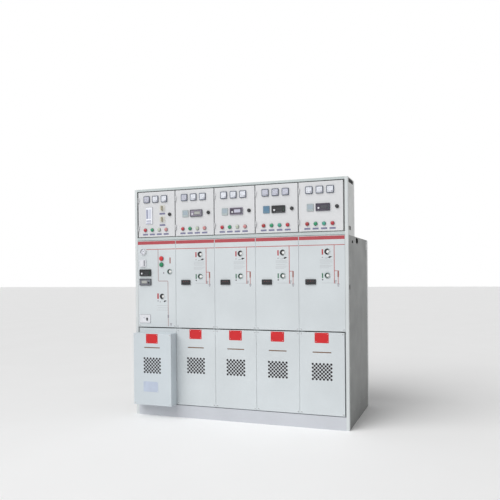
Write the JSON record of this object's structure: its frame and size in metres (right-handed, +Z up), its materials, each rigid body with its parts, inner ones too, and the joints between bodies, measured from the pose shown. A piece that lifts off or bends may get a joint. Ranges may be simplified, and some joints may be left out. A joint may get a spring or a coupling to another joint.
{
  "type": "gas insulated ring main unit",
  "caption": "Floor-standing gas insulated medium voltage switchgear line-up with cable covers and a hinged instrument box on top.",
  "frame": {"origin": "on the floor, under the middle of the whole unit's box", "axes": "+Z up, +X to the right along the front, -Y out of the front"},
  "size_m": [1.671, 0.94, 1.751],
  "materials": {
    "body_paint": "light cool grey powder coat, satin",
    "box_paint": "light warm grey powder coat, satin",
    "frame_paint": "pale blue grey powder coat, satin",
    "side_sheet": "grey coated sheet, satin",
    "galvanised": "galvanised sheet",
    "tank_steel": "brushed stainless sheet",
    "bright_metal": "bright plated",
    "dark_plastic": "black moulded plastic",
    "pale_plastic": "pale grey moulded plastic",
    "red_plastic": "red moulded plastic",
    "green_plastic": "green moulded plastic",
    "pale_lens": "milky white lens",
    "red_label": "red printed film",
    "mark_ink": "grey blue printed film",
    "window_glass": "clear cover"
  },
  "bodies": {
    "switchgear": {"plinth": "frame_paint", "front_posts": "body_paint", "rear_posts": "galvanised", "box_rear_posts": "box_paint", "side_panels": "side_sheet", "back_panel": "side_sheet", "top_panel": "side_sheet", "uprights": "galvanised", "tank_rails": "galvanised", "gas_tank": "tank_steel", "operating_sockets": "dark_plastic", "voltage_indicators": "dark_plastic", "protection_relays": "dark_plastic", "pressure_gauge": "pale_plastic", "operation_counter": "pale_plastic", "breaker_buttons": "red_plastic", "test_panel": "pale_plastic", "sill_rail": "box_paint", "head_rail": "box_paint", "box_floor": "box_paint", "box_top": "box_paint", "box_back": "box_paint", "box_sides": "box_paint", "side_plugs": "dark_plastic", "mullions": "box_paint", "hinge_pins": "bright_metal", "cable_hood_1": "body_paint", "front_panel_1": "body_paint", "cable_cover_1": "body_paint", "front_panel_2": "body_paint", "cable_cover_2": "body_paint", "front_panel_3": "body_paint", "cable_cover_3": "body_paint", "front_panel_4": "body_paint", "cable_cover_4": "body_paint", "front_panel_5": "body_paint", "cable_cover_5": "body_paint"},
    "door_1": {"selector_switches": "dark_plastic", "box_door_1": "box_paint", "instruments_1": "dark_plastic", "push_buttons_1": "dark_plastic", "lock_1": "dark_plastic"},
    "door_2": {"box_door_2": "box_paint", "instruments_2": "dark_plastic", "push_buttons_2": "dark_plastic", "lock_2": "dark_plastic"},
    "door_3": {"box_door_3": "box_paint", "instruments_3": "dark_plastic", "push_buttons_3": "dark_plastic", "lock_3": "dark_plastic"},
    "door_4": {"box_door_4": "box_paint", "instruments_4": "dark_plastic", "push_buttons_4": "dark_plastic", "lock_4": "dark_plastic"},
    "door_5": {"box_door_5": "box_paint", "instruments_5": "dark_plastic", "push_buttons_5": "dark_plastic", "lock_5": "dark_plastic"}
  },
  "joints": [
    {"name": "door_1_hinge", "type": "hinge", "parent": "switchgear", "child": "door_1", "pos_m": [-0.8015, -0.3845, 1.445], "axis": [0, 0, -1], "range_deg": [0, 110]},
    {"name": "door_2_hinge", "type": "hinge", "parent": "switchgear", "child": "door_2", "pos_m": [-0.4785, -0.3845, 1.445], "axis": [0, 0, -1], "range_deg": [0, 110]},
    {"name": "door_3_hinge", "type": "hinge", "parent": "switchgear", "child": "door_3", "pos_m": [-0.1555, -0.3845, 1.445], "axis": [0, 0, -1], "range_deg": [0, 110]},
    {"name": "door_4_hinge", "type": "hinge", "parent": "switchgear", "child": "door_4", "pos_m": [0.1675, -0.3845, 1.445], "axis": [0, 0, -1], "range_deg": [0, 110]},
    {"name": "door_5_hinge", "type": "hinge", "parent": "switchgear", "child": "door_5", "pos_m": [0.4905, -0.3845, 1.445], "axis": [0, 0, -1], "range_deg": [0, 110]}
  ]
}
